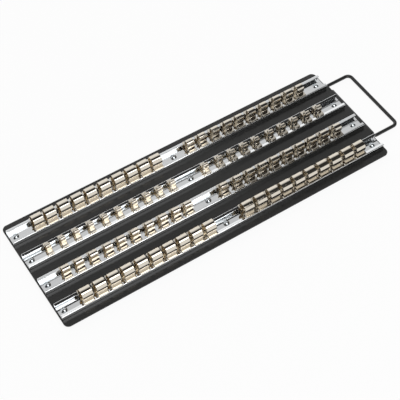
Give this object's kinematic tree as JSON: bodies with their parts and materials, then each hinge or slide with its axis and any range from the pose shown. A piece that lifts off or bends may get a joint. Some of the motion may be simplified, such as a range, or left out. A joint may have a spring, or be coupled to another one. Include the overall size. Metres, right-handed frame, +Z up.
{
  "type": "socket rail tray",
  "caption": "Flat steel tool tray with four C rails, sliding spring clips in three drive sizes and a hinged wire carrying handle.",
  "frame": {"origin": "under the middle of the whole object, on the plane of its lowest point", "axes": "+X along the rails to the handle, +Y across the rails from the near edge to the far edge, +Z up from the tray"},
  "size_m": [0.4762, 0.153, 0.026],
  "materials": {
    "black_powder_coat": "semi-gloss black powder coat",
    "chromed_steel": "mirror chrome plate",
    "nickel_plated_rivet": "bright plate",
    "nickel_plated_spring_steel": "bright warm nickel plate"
  },
  "bodies": {
    "tray": {"tray": "black_powder_coat", "rail_1": "chromed_steel", "rail_2": "chromed_steel", "rail_3": "chromed_steel", "rail_4": "chromed_steel", "rivets_rail_1": "nickel_plated_rivet", "rivets_rail_2": "nickel_plated_rivet", "rivets_rail_3": "nickel_plated_rivet", "rivets_rail_4": "nickel_plated_rivet"},
    "handle": {"handle": "black_powder_coat"},
    "clip_rail_1_left_1": {"clip_rail_1_left_1": "nickel_plated_spring_steel"},
    "clip_rail_1_left_2": {"clip_rail_1_left_2": "nickel_plated_spring_steel"},
    "clip_rail_1_left_3": {"clip_rail_1_left_3": "nickel_plated_spring_steel"},
    "clip_rail_1_left_4": {"clip_rail_1_left_4": "nickel_plated_spring_steel"},
    "clip_rail_1_left_5": {"clip_rail_1_left_5": "nickel_plated_spring_steel"},
    "clips_rail_1_left_block": {"clips_rail_1_left_block": "nickel_plated_spring_steel"},
    "clip_rail_1_right_1": {"clip_rail_1_right_1": "nickel_plated_spring_steel"},
    "clip_rail_1_right_2": {"clip_rail_1_right_2": "nickel_plated_spring_steel"},
    "clip_rail_1_right_3": {"clip_rail_1_right_3": "nickel_plated_spring_steel"},
    "clip_rail_1_right_4": {"clip_rail_1_right_4": "nickel_plated_spring_steel"},
    "clip_rail_1_right_5": {"clip_rail_1_right_5": "nickel_plated_spring_steel"},
    "clips_rail_1_right_block": {"clips_rail_1_right_block": "nickel_plated_spring_steel"},
    "clip_rail_2_left_1": {"clip_rail_2_left_1": "nickel_plated_spring_steel"},
    "clip_rail_2_left_2": {"clip_rail_2_left_2": "nickel_plated_spring_steel"},
    "clip_rail_2_left_3": {"clip_rail_2_left_3": "nickel_plated_spring_steel"},
    "clip_rail_2_left_4": {"clip_rail_2_left_4": "nickel_plated_spring_steel"},
    "clip_rail_2_left_5": {"clip_rail_2_left_5": "nickel_plated_spring_steel"},
    "clips_rail_2_left_block": {"clips_rail_2_left_block": "nickel_plated_spring_steel"},
    "clip_rail_2_right_1": {"clip_rail_2_right_1": "nickel_plated_spring_steel"},
    "clip_rail_2_right_2": {"clip_rail_2_right_2": "nickel_plated_spring_steel"},
    "clip_rail_2_right_3": {"clip_rail_2_right_3": "nickel_plated_spring_steel"},
    "clip_rail_2_right_4": {"clip_rail_2_right_4": "nickel_plated_spring_steel"},
    "clip_rail_2_right_5": {"clip_rail_2_right_5": "nickel_plated_spring_steel"},
    "clips_rail_2_right_block": {"clips_rail_2_right_block": "nickel_plated_spring_steel"},
    "clip_rail_3_left_1": {"clip_rail_3_left_1": "nickel_plated_spring_steel"},
    "clip_rail_3_left_2": {"clip_rail_3_left_2": "nickel_plated_spring_steel"},
    "clip_rail_3_left_3": {"clip_rail_3_left_3": "nickel_plated_spring_steel"},
    "clip_rail_3_left_4": {"clip_rail_3_left_4": "nickel_plated_spring_steel"},
    "clip_rail_3_left_5": {"clip_rail_3_left_5": "nickel_plated_spring_steel"},
    "clips_rail_3_left_block": {"clips_rail_3_left_block": "nickel_plated_spring_steel"},
    "clip_rail_3_right_1": {"clip_rail_3_right_1": "nickel_plated_spring_steel"},
    "clip_rail_3_right_2": {"clip_rail_3_right_2": "nickel_plated_spring_steel"},
    "clip_rail_3_right_3": {"clip_rail_3_right_3": "nickel_plated_spring_steel"},
    "clip_rail_3_right_4": {"clip_rail_3_right_4": "nickel_plated_spring_steel"},
    "clip_rail_3_right_5": {"clip_rail_3_right_5": "nickel_plated_spring_steel"},
    "clips_rail_3_right_block": {"clips_rail_3_right_block": "nickel_plated_spring_steel"},
    "clip_rail_4_left_1": {"clip_rail_4_left_1": "nickel_plated_spring_steel"},
    "clip_rail_4_left_2": {"clip_rail_4_left_2": "nickel_plated_spring_steel"},
    "clip_rail_4_left_3": {"clip_rail_4_left_3": "nickel_plated_spring_steel"},
    "clip_rail_4_left_4": {"clip_rail_4_left_4": "nickel_plated_spring_steel"},
    "clip_rail_4_left_5": {"clip_rail_4_left_5": "nickel_plated_spring_steel"},
    "clips_rail_4_left_block": {"clips_rail_4_left_block": "nickel_plated_spring_steel"},
    "clip_rail_4_right_1": {"clip_rail_4_right_1": "nickel_plated_spring_steel"},
    "clip_rail_4_right_2": {"clip_rail_4_right_2": "nickel_plated_spring_steel"},
    "clip_rail_4_right_3": {"clip_rail_4_right_3": "nickel_plated_spring_steel"},
    "clip_rail_4_right_4": {"clip_rail_4_right_4": "nickel_plated_spring_steel"},
    "clip_rail_4_right_5": {"clip_rail_4_right_5": "nickel_plated_spring_steel"},
    "clips_rail_4_right_block": {"clips_rail_4_right_block": "nickel_plated_spring_steel"}
  },
  "joints": [
    {"name": "handle_hinge", "type": "hinge", "parent": "tray", "child": "handle", "pos_m": [0.20028, 0, 0.00345], "axis": [0, -1, 0], "range_deg": [-180, 90]},
    {"name": "slide_rail_1_left_1", "type": "slide", "parent": "tray", "child": "clip_rail_1_left_1", "axis": [1, 0, 0], "range_m": [-0.0171, 0.00233]},
    {"name": "slide_rail_1_left_2", "type": "slide", "parent": "tray", "child": "clip_rail_1_left_2", "axis": [1, 0, 0], "range_m": [-0.00233, 0.00224]},
    {"name": "slide_rail_1_left_3", "type": "slide", "parent": "tray", "child": "clip_rail_1_left_3", "axis": [1, 0, 0], "range_m": [-0.00224, 0.00224]},
    {"name": "slide_rail_1_left_4", "type": "slide", "parent": "tray", "child": "clip_rail_1_left_4", "axis": [1, 0, 0], "range_m": [-0.00224, 0.0025]},
    {"name": "slide_rail_1_left_5", "type": "slide", "parent": "tray", "child": "clip_rail_1_left_5", "axis": [1, 0, 0], "range_m": [-0.0025, 0.00259]},
    {"name": "slide_rail_1_left_block", "type": "slide", "parent": "tray", "child": "clips_rail_1_left_block", "axis": [1, 0, 0], "range_m": [-0.00259, 0.01306]},
    {"name": "slide_rail_1_right_1", "type": "slide", "parent": "tray", "child": "clip_rail_1_right_1", "axis": [1, 0, 0], "range_m": [-0.01773, 0.00249]},
    {"name": "slide_rail_1_right_2", "type": "slide", "parent": "tray", "child": "clip_rail_1_right_2", "axis": [1, 0, 0], "range_m": [-0.00249, 0.00258]},
    {"name": "slide_rail_1_right_3", "type": "slide", "parent": "tray", "child": "clip_rail_1_right_3", "axis": [1, 0, 0], "range_m": [-0.00258, 0.00214]},
    {"name": "slide_rail_1_right_4", "type": "slide", "parent": "tray", "child": "clip_rail_1_right_4", "axis": [1, 0, 0], "range_m": [-0.00214, 0.00249]},
    {"name": "slide_rail_1_right_5", "type": "slide", "parent": "tray", "child": "clip_rail_1_right_5", "axis": [1, 0, 0], "range_m": [-0.00249, 0.00241]},
    {"name": "slide_rail_1_right_block", "type": "slide", "parent": "tray", "child": "clips_rail_1_right_block", "axis": [1, 0, 0], "range_m": [-0.00241, 0.01226]},
    {"name": "slide_rail_2_left_1", "type": "slide", "parent": "tray", "child": "clip_rail_2_left_1", "axis": [1, 0, 0], "range_m": [-0.01493, 0.00362]},
    {"name": "slide_rail_2_left_2", "type": "slide", "parent": "tray", "child": "clip_rail_2_left_2", "axis": [1, 0, 0], "range_m": [-0.00362, 0.00424]},
    {"name": "slide_rail_2_left_3", "type": "slide", "parent": "tray", "child": "clip_rail_2_left_3", "axis": [1, 0, 0], "range_m": [-0.00424, 0.00451]},
    {"name": "slide_rail_2_left_4", "type": "slide", "parent": "tray", "child": "clip_rail_2_left_4", "axis": [1, 0, 0], "range_m": [-0.00451, 0.00362]},
    {"name": "slide_rail_2_left_5", "type": "slide", "parent": "tray", "child": "clip_rail_2_left_5", "axis": [1, 0, 0], "range_m": [-0.00362, 0.00415]},
    {"name": "slide_rail_2_left_block", "type": "slide", "parent": "tray", "child": "clips_rail_2_left_block", "axis": [1, 0, 0], "range_m": [-0.00415, 0.01876]},
    {"name": "slide_rail_2_right_1", "type": "slide", "parent": "tray", "child": "clip_rail_2_right_1", "axis": [1, 0, 0], "range_m": [-0.01257, 0.00477]},
    {"name": "slide_rail_2_right_2", "type": "slide", "parent": "tray", "child": "clip_rail_2_right_2", "axis": [1, 0, 0], "range_m": [-0.00477, 0.00406]},
    {"name": "slide_rail_2_right_3", "type": "slide", "parent": "tray", "child": "clip_rail_2_right_3", "axis": [1, 0, 0], "range_m": [-0.00406, 0.00397]},
    {"name": "slide_rail_2_right_4", "type": "slide", "parent": "tray", "child": "clip_rail_2_right_4", "axis": [1, 0, 0], "range_m": [-0.00397, 0.00361]},
    {"name": "slide_rail_2_right_5", "type": "slide", "parent": "tray", "child": "clip_rail_2_right_5", "axis": [1, 0, 0], "range_m": [-0.00361, 0.00459]},
    {"name": "slide_rail_2_right_block", "type": "slide", "parent": "tray", "child": "clips_rail_2_right_block", "axis": [1, 0, 0], "range_m": [-0.00459, 0.01721]},
    {"name": "slide_rail_3_left_1", "type": "slide", "parent": "tray", "child": "clip_rail_3_left_1", "axis": [1, 0, 0], "range_m": [-0.01515, 0.00588]},
    {"name": "slide_rail_3_left_2", "type": "slide", "parent": "tray", "child": "clip_rail_3_left_2", "axis": [1, 0, 0], "range_m": [-0.00588, 0.0056]},
    {"name": "slide_rail_3_left_3", "type": "slide", "parent": "tray", "child": "clip_rail_3_left_3", "axis": [1, 0, 0], "range_m": [-0.0056, 0.00588]},
    {"name": "slide_rail_3_left_4", "type": "slide", "parent": "tray", "child": "clip_rail_3_left_4", "axis": [1, 0, 0], "range_m": [-0.00588, 0.00615]},
    {"name": "slide_rail_3_left_5", "type": "slide", "parent": "tray", "child": "clip_rail_3_left_5", "axis": [1, 0, 0], "range_m": [-0.00615, 0.00588]},
    {"name": "slide_rail_3_left_block", "type": "slide", "parent": "tray", "child": "clips_rail_3_left_block", "axis": [1, 0, 0], "range_m": [-0.00588, 0.01781]},
    {"name": "slide_rail_3_right_1", "type": "slide", "parent": "tray", "child": "clip_rail_3_right_1", "axis": [1, 0, 0], "range_m": [-0.0136, 0.00668]},
    {"name": "slide_rail_3_right_2", "type": "slide", "parent": "tray", "child": "clip_rail_3_right_2", "axis": [1, 0, 0], "range_m": [-0.00668, 0.00569]},
    {"name": "slide_rail_3_right_3", "type": "slide", "parent": "tray", "child": "clip_rail_3_right_3", "axis": [1, 0, 0], "range_m": [-0.00569, 0.00569]},
    {"name": "slide_rail_3_right_4", "type": "slide", "parent": "tray", "child": "clip_rail_3_right_4", "axis": [1, 0, 0], "range_m": [-0.00569, 0.00524]},
    {"name": "slide_rail_3_right_5", "type": "slide", "parent": "tray", "child": "clip_rail_3_right_5", "axis": [1, 0, 0], "range_m": [-0.00524, 0.00695]},
    {"name": "slide_rail_3_right_block", "type": "slide", "parent": "tray", "child": "clips_rail_3_right_block", "axis": [1, 0, 0], "range_m": [-0.00695, 0.01783]},
    {"name": "slide_rail_4_left_1", "type": "slide", "parent": "tray", "child": "clip_rail_4_left_1", "axis": [1, 0, 0], "range_m": [-0.01835, 0.00164]},
    {"name": "slide_rail_4_left_2", "type": "slide", "parent": "tray", "child": "clip_rail_4_left_2", "axis": [1, 0, 0], "range_m": [-0.00164, 0.00242]},
    {"name": "slide_rail_4_left_3", "type": "slide", "parent": "tray", "child": "clip_rail_4_left_3", "axis": [1, 0, 0], "range_m": [-0.00242, 0.00251]},
    {"name": "slide_rail_4_left_4", "type": "slide", "parent": "tray", "child": "clip_rail_4_left_4", "axis": [1, 0, 0], "range_m": [-0.00251, 0.00216]},
    {"name": "slide_rail_4_left_5", "type": "slide", "parent": "tray", "child": "clip_rail_4_left_5", "axis": [1, 0, 0], "range_m": [-0.00216, 0.00268]},
    {"name": "slide_rail_4_left_block", "type": "slide", "parent": "tray", "child": "clips_rail_4_left_block", "axis": [1, 0, 0], "range_m": [-0.00268, 0.01464]},
    {"name": "slide_rail_4_right_1", "type": "slide", "parent": "tray", "child": "clip_rail_4_right_1", "axis": [1, 0, 0], "range_m": [-0.01405, 0.00376]},
    {"name": "slide_rail_4_right_2", "type": "slide", "parent": "tray", "child": "clip_rail_4_right_2", "axis": [1, 0, 0], "range_m": [-0.00376, 0.00438]},
    {"name": "slide_rail_4_right_3", "type": "slide", "parent": "tray", "child": "clip_rail_4_right_3", "axis": [1, 0, 0], "range_m": [-0.00438, 0.00438]},
    {"name": "slide_rail_4_right_4", "type": "slide", "parent": "tray", "child": "clip_rail_4_right_4", "axis": [1, 0, 0], "range_m": [-0.00438, 0.00341]},
    {"name": "slide_rail_4_right_5", "type": "slide", "parent": "tray", "child": "clip_rail_4_right_5", "axis": [1, 0, 0], "range_m": [-0.00341, 0.00411]},
    {"name": "slide_rail_4_right_block", "type": "slide", "parent": "tray", "child": "clips_rail_4_right_block", "axis": [1, 0, 0], "range_m": [-0.00411, 0.01803]}
  ]
}
